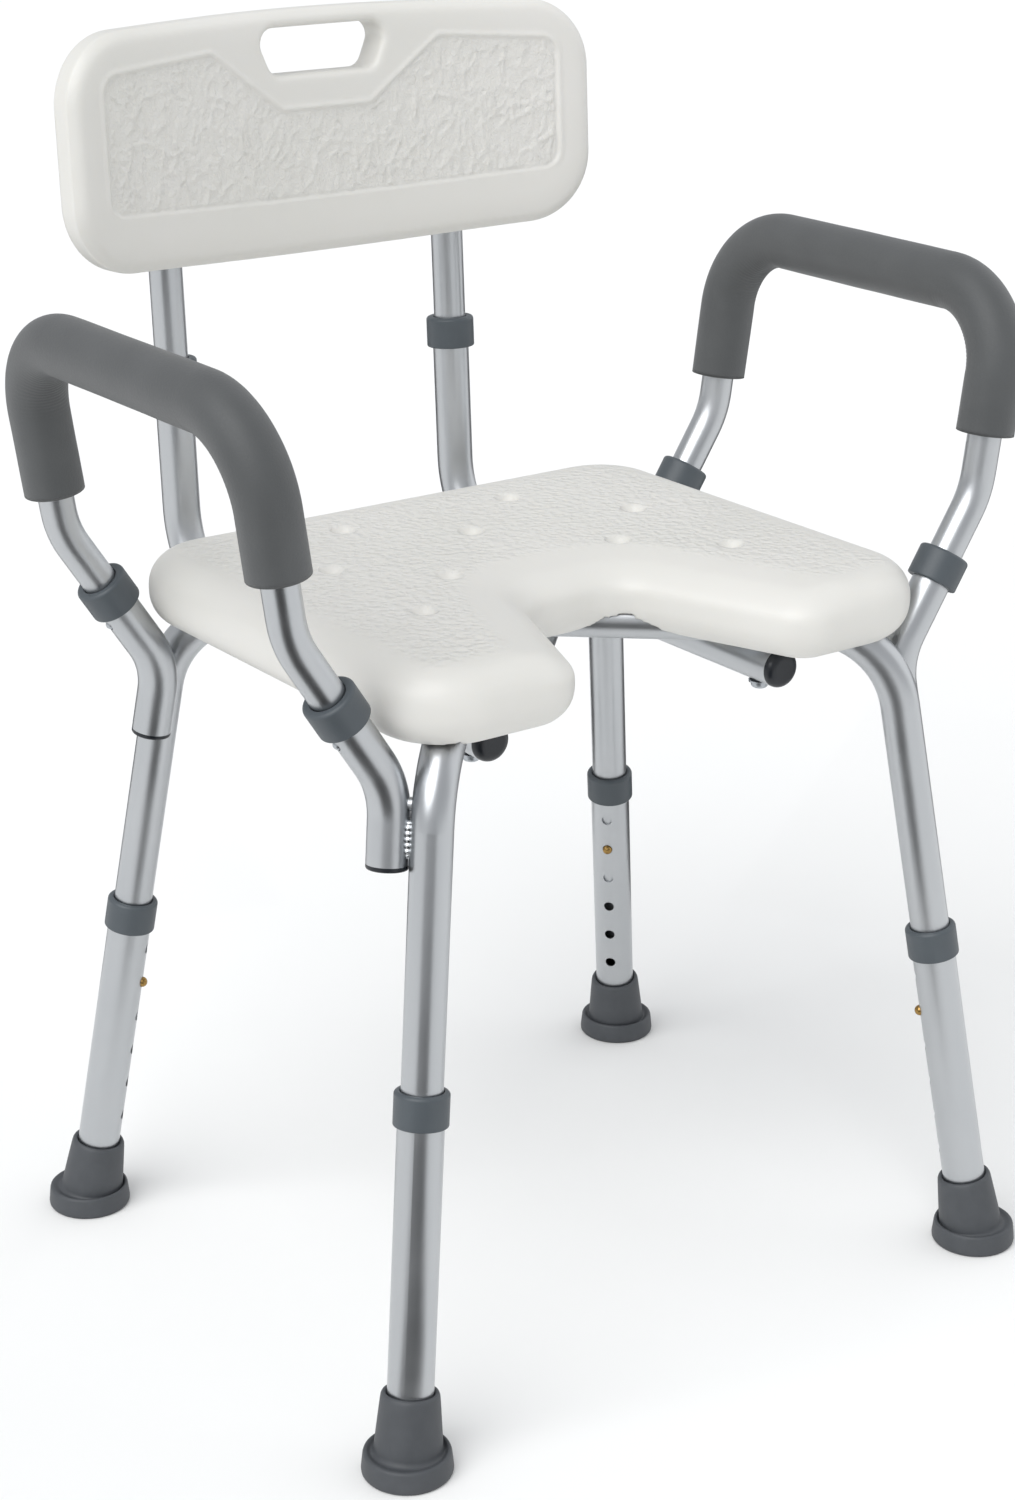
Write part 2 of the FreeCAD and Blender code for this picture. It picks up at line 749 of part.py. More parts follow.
def arm_points(side):
    """The arm's axis, from its front end in the socket over the grip to its rear end."""
    across = SIDES[side]
    front, rear = socket_corner(f"front_{side}"), socket_corner(f"rear_{side}")
    up = arm_direction(side)
    knee_out = size("(arm_bend_high - socket_high) * tan(arm_lean)")
    top_out = size("(arm_top - arm_bend_high) * tan(arm_rise_lean)")
    knee_up, top_up = size("arm_bend_high - socket_high"), size("arm_top - socket_high")
    knee = Vector(across * knee_out, 0, knee_up)
    top = Vector(across * (knee_out + top_out), 0, top_up)
    start = up * size("arm_seat")
    return [front + start, front + knee, front + top, rear + top, rear + knee, rear + start]


def arm(side):
    """The arm's tube bends out of one plane, so its path is made from its corner points."""
    points = arm_points(side)
    bends = [size("arm_knee"), size("arm_corner"), size("arm_corner"), size("arm_knee")]
    tube = document.addObject("Part::Feature", f"arm_tube_{side}_bare")
    tube.Shape = swept(points, bends, size("arm_od")).cut(swept(points, bends, size("arm_bore")))
    holes = []
    for corner in (f"front_{side}", f"rear_{side}"):
        at = socket_corner(corner) + arm_direction(side) * size("arm_button")
        holes.append(cylinder(f"arm_hole_{corner}", "arm_hole_bore", "arm_od", along(at, arm_outward(side))))
    keep(f"arm_tube_{side}", cut(f"arm_tube_{side}", tube, holes))

    knee_front, top_front, top_rear, knee_rear = points[1:5]
    front_end = top_front + (knee_front - top_front).normalize() * size("grip_front")
    rear_end = top_rear + (knee_rear - top_rear).normalize() * size("grip_rear")
    grip_points = [front_end, top_front, top_rear, rear_end]
    grip_bends = [size("arm_corner"), size("arm_corner")]
    grip = document.addObject("Part::Feature", f"foam_grip_{side}")
    sleeve = swept(grip_points, grip_bends, size("grip_od"))
    grip.Shape = sleeve.cut(swept(grip_points, grip_bends, size("grip_bore")))
    keep(f"foam_grip_{side}", grip)

    for corner in (f"front_{side}", f"rear_{side}"):
        at = socket_corner(corner) + arm_direction(side) * size("arm_button")
        up, out = arm_direction(side), arm_outward(side)
        place = Placement(at, Rotation(out * -1, up.cross(out * -1), up, "ZXY"))
        small_button(f"arm_button_{corner}", place)


for side in SIDES:
    arm(side)


# ---- back frame -----------------------------------------------------------------------------------


def back_tube(side):
    """An L-shaped tube: along under the crossed tubes to the chair's front, then up behind the seat."""
    label = f"back_tube_{side}"
    tube = bent_tube(
        label + "_bare",
        "YZ_Plane",
        [
            ("-back_front", LOWER_LEVEL),
            ("back_rear", LOWER_LEVEL),
            (
                "back_rear + back_mouth * sin(back_recline)",
                f"{LOWER_LEVEL} + back_mouth * cos(back_recline)",
            ),
        ],
        [None, "frame_bend", None],
        "frame_od",
        "socket_bore",
    )
    tube.Placement = CHAIR * Placement(Vector(SIDES[side] * size("back_spacing"), 0, 0), Rotation())
    frame = back_frame(SIDES[side])
    holes = [
        cylinder(
            label + "_button_hole",
            "arm_hole_bore",
            "frame_od",
            along(frame.multVec(Vector(0, 0, size("back_button"))), frame.Rotation.multVec(Y_AXIS)),
        )
    ]
    keep(label, cut(label, tube, holes + bolt_holes(label)))
    front = Vector(SIDES[side] * size("back_spacing"), -size("back_front"), size(LOWER_LEVEL))
    front_end = along(CHAIR.multVec(front), Y_AXIS)
    end_plug(f"back_plug_{side}", front_end, "frame_od", "socket_bore", domed=True)
    tube_collar(f"back_collar_{side}", frame, "frame_od", "arm_od", "back_mouth")

    post = straight_tube(f"back_post_{side}_bare", "arm_od", "arm_bore", "back_seat", "back_seat + post_long")
    post.Placement = frame
    hole = cylinder(
        f"back_post_{side}_hole",
        "arm_hole_bore",
        "frame_od",
        along(frame.multVec(Vector(0, 0, size("back_button"))), frame.Rotation.multVec(Y_AXIS)),
    )
    keep(f"back_post_{side}", cut(f"back_post_{side}", post, [hole]))
    facing_back = frame * Placement(Vector(0, 0, size("back_button")), Rotation(Z_AXIS, -90))
    small_button(f"back_button_{side}", facing_back)


for side in SIDES:
    back_tube(side)


# ---- backrest -------------------------------------------------------------------------------------


def curved_slab(name, inner, outer):
    """An upright wall between two radii about the axis that the backrest curves round."""
    wall = new_body(name)
    plan = new_sketch(wall, "XY_Plane", "PlanCurve", "rest_low - 10")
    draw_circle(plan, f"2 * ({inner})", "0", "-(rest_ahead + rest_radius)")
    draw_circle(plan, f"2 * ({outer})", "0", "-(rest_ahead + rest_radius)")
    pad(wall, plan, "rest_high + 20")
    return wall


def front_outline(name, corners, bends):
    """A shape seen from the front, as deep as the backrest is wide."""
    block = new_body(name)
    sketch = new_sketch(block, "XZ_Plane", "FrontOutline")
    draw_path(sketch, corners, bends, closed=True)
    pad(block, sketch, "rest_wide", both_ways=True)
    return block


def common(name, pieces):
    shared = document.addObject("Part::MultiCommon", name)
    shared.Shapes = pieces
    return shared


def rounded_rims(name, base, radius, within):
    """Round the rims of the backrest's front and rear faces that lie no further than this from its middle."""
    document.recompute()
    axis_y = -size("rest_ahead + rest_radius")
    faces = (size("rest_radius"), size("rest_radius + rest_thick"))
    rims = []
    for number, edge in enumerate(base.Shape.Edges, start=1):
        ends = [edge.valueAt(edge.FirstParameter), edge.valueAt(edge.LastParameter)]
        reaches = [math.hypot(end.x, end.y - axis_y) for end in ends]
        on_a_face = any(all(abs(reach - face) < TOUCHING for reach in reaches) for face in faces)
        if on_a_face and all(abs(end.x) < within for end in ends):
            rims.append((number, size(radius), size(radius)))
    fillet = document.addObject("Part::Fillet", name)
    fillet.Base = base
    fillet.Edges = rims
    return fillet


def boss(name, across):
    """The rib behind the backrest that a post runs up into."""
    block = new_body(name)
    plan = new_sketch(block, "XY_Plane", "BossPlan", "rest_low + rest_crown")
    middle = f"{across} * back_spacing"
    left, right = f"{middle} - boss_wide / 2", f"{middle} + boss_wide / 2"
    draw_path(
        plan,
        [(left, "-rest_ahead / 2"), (right, "-rest_ahead / 2"), (right, "boss_back"), (left, "boss_back")],
        [None, None, "boss_corner", "boss_corner"],
        closed=True,
    )
    pad(block, plan, "boss_high - rest_crown")
    return block


def backrest():
    """A moulded shell curved round the sitter, with a carrying slot, a sunk panel and a boss on each post."""
    low, high = "rest_low", "(rest_low + rest_high)"
    half = "rest_wide / 2"
    outline = front_outline(
        "rest_outline",
        [
            (f"-{half}", f"{low} + rest_crown"),
            ("0", low),
            (half, f"{low} + rest_crown"),
            (half, f"{high} - rest_crown"),
            ("0", high),
            (f"-{half}", f"{high} - rest_crown"),
        ],
        ["rest_corner", "rest_crown_bend", "rest_corner"] * 2,
    )
    slot_low = "rest_low + handle_low"
    slot = front_outline(
        "rest_slot",
        [
            ("-handle_bottom / 2", slot_low),
            ("handle_bottom / 2", slot_low),
            ("handle_top / 2", f"{slot_low} + handle_high"),
            ("-handle_top / 2", f"{slot_low} + handle_high"),
        ],
        ["handle_corner"] * 4,
    )
    panel_top = "(rest_low + panel_low + panel_high)"
    notch_foot = f"{panel_top} - panel_notch_deep"
    panel = front_outline(
        "rest_panel",
        [
            ("-panel_wide / 2", "rest_low + panel_low + rest_crown"),
            ("0", "rest_low + panel_low"),
            ("panel_wide / 2", "rest_low + panel_low + rest_crown"),
            ("panel_wide / 2", f"{panel_top} - rest_crown"),
            ("panel_notch_wide / 2", panel_top),
            ("panel_notch_in / 2", notch_foot),
            ("-panel_notch_in / 2", notch_foot),
            ("-panel_notch_wide / 2", panel_top),
            ("-panel_wide / 2", f"{panel_top} - rest_crown"),
        ],
        ["panel_corner", "rest_crown_bend", "panel_corner", "panel_corner"]
        + ["panel_corner / 2"] * 4
        + ["panel_corner"],
    )
    wall = curved_slab("rest_wall", "rest_radius", "rest_radius + rest_thick")
    sunk = curved_slab("rest_sunk", "rest_radius - rest_edge", "rest_radius + panel_deep")
    shell = rounded_rims("rest_shell", common("rest_blank", [outline, wall]), "rest_edge", size("rest_wide"))
    slotted = cut("rest_slotted", shell, [slot])
    grip = rounded_rims("rest_grip", slotted, "handle_edge", size("0.6 * handle_top"))
    whole = joined("rest_whole", [grip, boss("rest_boss_left", -1), boss("rest_boss_right", 1)])
    post_top = "back_seat + post_long + fit_gap"
    sockets = [
        cylinder(
            f"rest_post_hole_{side}",
            "arm_od + 2 * fit_gap",
            post_top,
            Placement(Vector(across * size("back_spacing"), 0, 0), Rotation()),
        )
        for side, across in SIDES.items()
    ]
    rest = cut("backrest", whole, [common("rest_panel_cut", [panel, sunk])] + sockets)
    rest.Placement = back_frame(0)
    return keep("backrest", rest)


backrest()


# ---- seat -----------------------------------------------------------------------------------------

SEAT_TOP = "(seat_low + seat_thick)"
BOLT_TOP = "beam_height + frame_od / 2 + rim_gap + bolt_in_seat"


def seat():
    """A moulded slab with rounded rims, a U-shaped cut-out, dimples, and channels below for the tubes."""
    block = new_body("seat_block")
    outline = new_sketch(block, "XY_Plane", "SeatOutline", "seat_low")
    wide, deep = "seat_wide / 2", "seat_deep / 2"
    inner_end = "mouth_deep - seat_deep / 2"
    draw_path(
        outline,
        [
            (f"-{wide}", f"-{deep}"),
            ("-mouth_wide / 2", f"-{deep}"),
            ("-mouth_inner / 2", inner_end),
            ("mouth_inner / 2", inner_end),
            ("mouth_wide / 2", f"-{deep}"),
            (wide, f"-{deep}"),
            (wide, deep),
            (f"-{wide}", deep),
        ],
        ["seat_front_corner", "prong_corner", "mouth_corner", "mouth_corner"]
        + ["prong_corner", "seat_front_corner", "seat_rear_corner", "seat_rear_corner"],
        closed=True,
    )
    slab = pad(block, outline, "seat_thick")
    document.recompute()
    rims = block.newObject("PartDesign::Fillet", "Rims")
    flat = [n for n, face in enumerate(slab.Shape.Faces, start=1) if abs(face.normalAt(0, 0).z) > 0.99]
    rims.Base = (slab, [f"Face{n}" for n in flat])
    rims.setExpression("Radius", bound("seat_rim"))
    block.Tip = rims
    block.Placement = CHAIR
    tools = []
    for corner in ("front_left", "front_right"):
        channel = document.addObject("Part::Box", f"seat_channel_{corner}")
        channel.setExpression("Length", bound("2 * channel_long"))
        channel.setExpression("Width", bound("frame_od + 2 * rim_gap"))
        channel.setExpression("Height", bound("beam_height + frame_od / 2 + rim_gap - seat_low + 1"))
        start = Vector(-size("channel_long"), -size("frame_od / 2 + rim_gap"), size("seat_low - 1"))
        turn = CHAIR * Placement(Vector(), Rotation(Z_AXIS, leg_heading(corner)))
        channel.Placement = turn * Placement(start, Rotation())
        tools.append(channel)
    hole_depth = f"{BOLT_TOP} + fit_gap - seat_low"
    for spot in bolt_places():
        place = Placement(spot + Vector(0, 0, size("seat_low")), Rotation())
        tools.append(cylinder("seat_bolt_hole", "bolt_od + 2 * fit_gap", hole_depth, place))
    ball_height = size(f"{SEAT_TOP} + dimple_radius - dimple_deep")
    for x, y in dimple_places():
        ball = document.addObject("Part::Sphere", "seat_dimple")
        ball.setExpression("Radius", bound("dimple_radius"))
        ball.Placement = CHAIR * Placement(Vector(x, y, ball_height), Rotation())
        tools.append(ball)
    return keep("seat", cut("seat", block, tools))


def dimple_places():
    """Middles of the drain dimples: staggered rows across the sitting area, clear of the cut-out."""
    side, inner = size("seat_wide * 0.297"), size("seat_wide * 0.165")
    rear, mid = size("seat_deep * 0.336"), size("seat_deep * 0.187")
    front, low = size("seat_deep * 0.131"), size("-seat_deep * 0.021")
    spots = [(0, mid)]
    for across in (-1, 1):
        spots += [(across * inner, rear), (across * side, front), (across * inner, low)]
        spots.append((across * side, size("-seat_deep * 0.166")))
    return spots


def seat_bolts():
    """Five bolts up through the stacked tubes into the seat, and the washers under their heads."""
    underside = size(f"{LOWER_LEVEL} - frame_od / 2")
    shank_long = f"{BOLT_TOP} - ({LOWER_LEVEL} - frame_od / 2) + washer_thick"
    bolts, washers = [], []
    for n, spot in enumerate(bolt_places()):
        level = Placement(spot + Vector(0, 0, underside - size("washer_thick")), Rotation())
        disc = cylinder(f"washer_blank_{n}", "washer_od", "washer_thick", level)
        shank = cylinder(f"bolt_shank_{n}", "bolt_od", shank_long, level)
        head = turned(
            f"bolt_head_{n}",
            [
                ("0", "0"),
                ("0", "-bolt_head_high"),
                ("bolt_head / 2", "-bolt_head_high"),
                ("bolt_head / 2", "0"),
            ],
            [None, None, "bolt_head_high * 0.6", None],
        )
        head.Placement = level
        bolts.append(joined(f"bolt_{n}", [shank, head]))
        washers.append(cut(f"washer_{n}", disc, [shank]))
    for label, pieces in (("seat_bolts", bolts), ("seat_washers", washers)):
        group = document.addObject("Part::Compound", label)
        group.Links = pieces
        keep(label, group)


seat()
seat_bolts()


# ---- export ---------------------------------------------------------------------------------------

document.recompute()
failed = [thing.Label for thing in document.Objects if {"Invalid", "Error"} & set(thing.State)]
failed += [piece.Label for piece in nodes if piece.Shape.isNull() or not piece.Shape.isValid()]
if failed:
    raise RuntimeError(f"these did not build: {sorted(set(failed))}")

os.makedirs("parts", exist_ok=True)
for piece in nodes:
    piece.Shape.exportStep(f"parts/{piece.Label}.step")
print(f"{len(nodes)} nodes written; the legs' middle is at y = {CHAIR.Base.y:.3f}")
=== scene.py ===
import json
import math

import bpy
import numpy as np
from mathutils import Matrix, Vector, noise


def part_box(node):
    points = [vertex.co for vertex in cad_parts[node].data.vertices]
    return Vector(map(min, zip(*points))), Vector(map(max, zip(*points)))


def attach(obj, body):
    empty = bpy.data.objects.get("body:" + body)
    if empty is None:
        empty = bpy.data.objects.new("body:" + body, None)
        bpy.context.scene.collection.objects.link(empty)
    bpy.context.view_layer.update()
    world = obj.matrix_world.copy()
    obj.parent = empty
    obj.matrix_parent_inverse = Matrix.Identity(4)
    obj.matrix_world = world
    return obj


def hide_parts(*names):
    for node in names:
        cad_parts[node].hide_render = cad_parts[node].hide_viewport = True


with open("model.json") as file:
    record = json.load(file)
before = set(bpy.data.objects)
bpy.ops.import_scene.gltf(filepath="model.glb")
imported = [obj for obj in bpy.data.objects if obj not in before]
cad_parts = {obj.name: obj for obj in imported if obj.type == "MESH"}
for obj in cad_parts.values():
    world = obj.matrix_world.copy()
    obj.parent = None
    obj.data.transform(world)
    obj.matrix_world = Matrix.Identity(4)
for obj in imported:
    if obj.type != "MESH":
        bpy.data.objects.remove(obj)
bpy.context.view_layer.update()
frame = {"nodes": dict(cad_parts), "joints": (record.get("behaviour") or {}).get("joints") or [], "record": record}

MM_PER_M = 1000

# ---- Aluminium tubes ------------------------------------------------------------------------------
# The chair's skeleton: drawn 6063 aluminium tube, bent on a mandrel, blasted to a fine satin and
# anodised clear. Two tubes cross under the seat, telescopic legs slide on them, and short sockets and
# L-shaped tubes carry the arms and the back. Each tube's shape is the frame's own.


def colour(code):
    """A hex sRGB colour as linear red, green, blue and alpha."""
    parts = [int(code[n : n + 2], 16) / 255 for n in (1, 3, 5)]
    return [p / 12.92 if p <= 0.04045 else ((p + 0.055) / 1.055) ** 2.4 for p in parts] + [1.0]


def add(tree, kind, inputs=None, **settings):
    """Adds a node with its settings; each input is a value or another node's socket."""
    node = tree.nodes.new(kind)
    for name, value in settings.items():
        setattr(node, name, value)
    for name, value in (inputs or {}).items():
        if isinstance(value, bpy.types.NodeSocket):
            tree.links.new(value, node.inputs[name])
        else:
            node.inputs[name].default_value = value
    return node


def start_material(name, **values):
    """A material's node tree and its shader, with the shader's own sockets set."""
    material = bpy.data.materials.new(name)
    material.use_nodes = True
    shader = material.node_tree.nodes["Principled BSDF"]
    for socket, value in values.items():
        shader.inputs[socket.replace("_", " ")].default_value = value
    return material, material.node_tree, shader


def object_place(tree):
    """Places in the piece's own metres, so that a finish rides along with it."""
    return add(tree, "ShaderNodeTexCoord").outputs["Object"]


def noise_field(tree, place, scale, detail, **more):
    """Noise from 0 to 1, whose features are about one over scale metres apart."""
    values = {"Vector": place, "Scale": scale, "Detail": detail, **more}
    return add(tree, "ShaderNodeTexNoise", values).outputs["Fac"]


def tint(tree, shader, field, dark, light):
    """Lets the base colour drift between two colours."""
    values = {"Factor": field, "A": colour(dark), "B": colour(light)}
    mix = add(tree, "ShaderNodeMix", values, data_type="RGBA")
    tree.links.new(mix.outputs["Result"], shader.inputs["Base Color"])


def roughen(tree, shader, field, least, most, low=0.0, high=1.0):
    """Lets the roughness vary from least, where the field is low, to most, where it is high."""
    values = {"Value": field, "From Min": low, "From Max": high, "To Min": least, "To Max": most}
    span = add(tree, "ShaderNodeMapRange", values)
    tree.links.new(span.outputs["Result"], shader.inputs["Roughness"])


def relief(tree, shader, field, strength, depth):
    """Raises a grain up to depth, in metres."""
    bump = add(tree, "ShaderNodeBump", {"Height": field, "Strength": strength, "Distance": depth})
    tree.links.new(bump.outputs["Normal"], shader.inputs["Normal"])


def dress(node, material):
    """Gives a node of the frame this finish."""
    skin = frame["nodes"][node]
    skin.data.materials.clear()
    skin.data.materials.append(material)


def anodised_aluminium():
    """Satin anodised tube: a bright, slightly cool metal whose blasted grain (about 0.6 mm) softens every
    reflection into long bands down the tube, with faint cloudy changes in the satin."""
    material, tree, shader = start_material("anodised_aluminium", Metallic=1.0)
    place = object_place(tree)
    cloud = noise_field(tree, place, 18.0, 3.0)
    grain = noise_field(tree, place, 1 / 0.0006, 2.0)
    roughen(tree, shader, cloud, 0.29, 0.37, low=0.3, high=0.7)
    tint(tree, shader, cloud, "#b7babd", "#c6c8ca")
    relief(tree, shader, grain, 0.12, 0.0002)
    return material


CORNERS = ("front_left", "front_right", "rear_left", "rear_right")
SIDES = ("left", "right")

satin_tube = anodised_aluminium()
tubes = ["cross_tube_upper", "cross_tube_lower"]
tubes += [f"{part}_{corner}" for part in ("leg_tube", "arm_socket") for corner in CORNERS]
tubes += [f"{part}_{side}" for part in ("arm_tube", "back_tube", "back_post") for side in SIDES]
for tube in tubes:
    dress(tube, satin_tube)


# ---- Weld beads -----------------------------------------------------------------------------------
# Each socket is TIG-welded to the leg beside it. The bead fills the cleft between the two tubes as a row
# of overlapping puddles, brighter than the anodised tube because it is polished afterwards.

mounts = {mount["name"]: mount for mount in frame["record"]["mounts"]}
joints = {joint["name"]: joint for joint in frame["joints"]}
floor_point = {corner: Vector(mounts[f"floor_{corner}"]["pos_m"]) for corner in CORNERS}
leg_up = {corner: -Vector(joints[f"leg_slide_{corner}"]["axis"]) for corner in CORNERS}
chair_middle = sum(floor_point.values(), Vector()) / len(CORNERS)
LEG_SOCKET_SPACING = 0.0256
WELD_HEIGHT = 0.3797  # along the leg, from the floor to the weld's middle
WELD_LENGTH = 0.024
WELD_HALF_WIDE, WELD_HALF_DEEP = 0.0062, 0.0042
WELD_SIDES = 20
PUDDLES, PUDDLE_STEPS = 7, 8
PUDDLE_DIP = 0.14  # how much narrower the bead is between two puddles
PUDDLE_LEAN = 0.0012
WELD_BLUNT, WELD_TIP = 6, 0.02  # how bluntly the bead's ends close, and how narrow they may get


def skin_of_rings(name, rings, material, body):
    """A closed skin over a row of rings with the same number of points, with a point in the middle of each
    end. It rides on the body."""
    count = len(rings[0])
    points = [tuple(p) for ring in rings for p in ring]
    faces = []
    for r in range(len(rings) - 1):
        for k in range(count):
            a, b = r * count + k, r * count + (k + 1) % count
            faces.append((a, b, b + count, a + count))
    for r, order in ((0, -1), (len(rings) - 1, 1)):
        middle = len(points)
        points.append(tuple(np.mean(np.array(rings[r]), axis=0)))
        ends = [(r * count + k, r * count + (k + 1) % count) for k in range(count)]
        faces += [(a, b, middle)[::order] for a, b in ends]
    mesh = bpy.data.meshes.new(name)
    mesh.from_pydata(points, [], faces)
    mesh.validate()
    mesh.shade_smooth()
    return place_piece(name, mesh, material, body)


def place_piece(name, mesh, material, body):
    mesh.materials.clear()
    mesh.materials.append(material)
    piece = bpy.data.objects.new(name, mesh)
    bpy.context.scene.collection.objects.link(piece)
    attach(piece, body)
    return piece


def leg_axes(corner):
    """Outward and sideways directions of a leg, square to its axis; sideways points at its socket."""
    up = leg_up[corner]
    outward = (floor_point[corner] - chair_middle).normalized()
    outward = (outward - up * outward.dot(up)).normalized()
    sideways = up.cross(outward)
    across = 1 if "right" in corner else -1
    along_y = 1 if "rear" in corner else -1
    return outward, sideways * (-across * along_y)


def polished_weld():
    """TIG weld in aluminium: bright, with the fine frost of the last pass."""
    material, tree, shader = start_material("tig_weld_aluminium", Metallic=1.0)
    frost = noise_field(tree, object_place(tree), 1 / 0.0015, 3.0)
    roughen(tree, shader, frost, 0.14, 0.36)
    tint(tree, shader, frost, "#c9cdd0", "#eceeef")
    relief(tree, shader, frost, 0.3, 0.0003)
    return material


def weld_bead(corner, material):
    up = leg_up[corner]
    outward, sideways = leg_axes(corner)
    middle = floor_point[corner] + up * WELD_HEIGHT + sideways * (LEG_SOCKET_SPACING / 2)
    steps = PUDDLE_STEPS * PUDDLES
    rings = []
    for step in range(steps + 1):
        t = step / steps
        puddle = 1 - PUDDLE_DIP + PUDDLE_DIP * abs(math.sin(math.pi * PUDDLES * t))
        taper = math.sqrt(max(WELD_TIP, 1 - (2 * t - 1) ** WELD_BLUNT))
        ring = []
        for k in range(WELD_SIDES):
            turn = 2 * math.pi * k / WELD_SIDES
            along = (t - 0.5) * WELD_LENGTH + PUDDLE_LEAN * math.cos(turn) ** 2
            wide = WELD_HALF_WIDE * puddle * taper * math.cos(turn)
            deep = WELD_HALF_DEEP * taper * math.sin(turn)
            ring.append(middle + up * along + outward * wide + sideways * deep)
        rings.append(ring)
    skin_of_rings(f"weld_bead_{corner}", rings, material, "frame")


weld_metal = polished_weld()
for corner in CORNERS:
    weld_bead(corner, weld_metal)


# ---- Collars and end plugs ------------------------------------------------------------------------
# Injection-moulded polypropylene. A slate grey ring is pressed over each open tube end, and takes up the
# play round the tube that slides in it; near-black plugs close the ends that stay empty.


def moulded_plastic(name, code, lighter, roughness, grain_mm):
    """Moulded polypropylene: an even colour, a fine spark-eroded grain and a soft broad highlight."""
    material, tree, shader = start_material(name, IOR=1.49)
    place = object_place(tree)
    grain = noise_field(tree, place, MM_PER_M / grain_mm, 3.0)
    roughen(tree, shader, grain, roughness - 0.06, roughness + 0.08)
    tint(tree, shader, noise_field(tree, place, 40.0, 2.0), code, lighter)
    relief(tree, shader, grain, 0.22, 0.0003)
    return material


slate_plastic = moulded_plastic("polypropylene_slate", "#454b50", "#4f565b", 0.42, 0.8)
black_plastic = moulded_plastic("polypropylene_black", "#0e1218", "#171c23", 0.30, 1.0)
for corner in CORNERS:
    dress(f"leg_collar_{corner}", slate_plastic)
    dress(f"socket_collar_{corner}", slate_plastic)
    dress(f"socket_plug_{corner}", black_plastic)
for side in SIDES:
    dress(f"back_collar_{side}", slate_plastic)
    dress(f"back_plug_{side}", black_plastic)


# ---- Snap buttons, bolts and washers --------------------------------------------------------------
# Turned brass pins on leaf springs catch in the leg tubes' holes, and smaller zinc-plated ones in the
# sockets and back tubes. Zinc-plated bolts with plain washers clamp the tubes to the seat from below.


def bare_metal(name, dark, light, roughness, grain_mm):
    """Small turned or plated metal part: fine tool marks and a little tarnish in the colour."""
    material, tree, shader = start_material(name, Metallic=1.0)
    marks = noise_field(tree, object_place(tree), MM_PER_M / grain_mm, 4.0)
    roughen(tree, shader, marks, roughness - 0.06, roughness + 0.10)
    tint(tree, shader, marks, dark, light)
    return material


turned_brass = bare_metal("turned_brass", "#86693c", "#b8965a", 0.24, 1.5)
zinc_plate = bare_metal("zinc_plated_steel", "#a3a8ad", "#c6cace", 0.34, 1.2)
for node in frame["nodes"]:
    if "_button_" in node:
        dress(node, turned_brass if node.startswith("leg") else zinc_plate)
dress("seat_bolts", zinc_plate)
dress("seat_washers", zinc_plate)


# ---- Feet -----------------------------------------------------------------------------------------
# Moulded grey rubber ferrules pushed over the leg tubes: a neck that leans with the leg and ends in a
# rounded lip, flaring into a flange that lies flat on the floor. The tube stands in its open bore.

FOOT_SIDES = 72
FOOT_PROFILE = [  # height up the foot and radius in mm, and how far the ring leans with the leg
    (0.0, 25.2, 0.0),
    (0.3, 26.5, 0.0),
    (1.4, 27.3, 0.0),
    (3.0, 27.5, 0.0),
    (8.0, 27.0, 0.0),
    (12.4, 26.5, 0.0),
    (13.6, 26.1, 0.0),
    (14.3, 25.3, 0.0),
    (14.4, 24.4, 0.05),
    (14.0, 23.6, 0.1),
    (13.2, 22.8, 0.2),
    (12.8, 21.9, 0.3),
    (13.2, 21.1, 0.5),
    (14.6, 20.7, 0.7),
    (18.0, 20.4, 0.9),
    (24.0, 19.9, 1.0),
    (36.0, 18.8, 1.0),
    (45.4, 17.9, 1.0),
    (47.4, 17.6, 1.0),
    (48.8, 17.0, 1.0),
    (49.5, 16.1, 1.0),
    (49.4, 15.2, 1.0),
    (48.6, 14.5, 1.0),
    (47.2, 14.1, 1.0),
    (40.0, 14.05, 1.0),
    (26.0, 14.05, 1.0),
    (11.9, 14.05, 1.0),
]


def moulded_rubber():
    """Grey TPR rubber: soft and almost matt, with a dusty bloom and a fine skin."""
    material, tree, shader = start_material("moulded_rubber", IOR=1.52)
    place = object_place(tree)
    bloom = noise_field(tree, place, 90.0, 5.0)
    roughen(tree, shader, bloom, 0.46, 0.66)
    tint(tree, shader, bloom, "#3c3f43", "#4d5054")
    relief(tree, shader, noise_field(tree, place, 1 / 0.0012, 4.0), 0.25, 0.0003)
    return material


def rubber_foot(corner, material):
    up, plumb = leg_up[corner], Vector((0, 0, 1))
    rings = []
    for height, radius, lean in FOOT_PROFILE:
        axis = plumb.lerp(up, lean).normalized()
        side = axis.cross(Vector((0, 1, 0))).normalized()
        other = axis.cross(side)
        middle = floor_point[corner] + plumb.lerp(up, min(1, lean * 2)) * (height / MM_PER_M)
        ring = []
        for k in range(FOOT_SIDES):
            turn = 2 * math.pi * k / FOOT_SIDES
            ring.append(middle + (side * math.cos(turn) + other * math.sin(turn)) * (radius / MM_PER_M))
        rings.append(ring)
    foot = skin_of_rings(f"rubber_foot_{corner}", rings, material, f"leg_{corner}")
    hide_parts(f"foot_{corner}")


grey_rubber = moulded_rubber()
for corner in CORNERS:
    rubber_foot(corner, grey_rubber)


# ---- Foam grips -----------------------------------------------------------------------------------
# Closed-cell NBR foam sleeves, blown on over each arm's tube with air. Where the tube turns, the foam is
# squeezed on the inside of the bend and creases across, and it is stretched smooth on the outside.

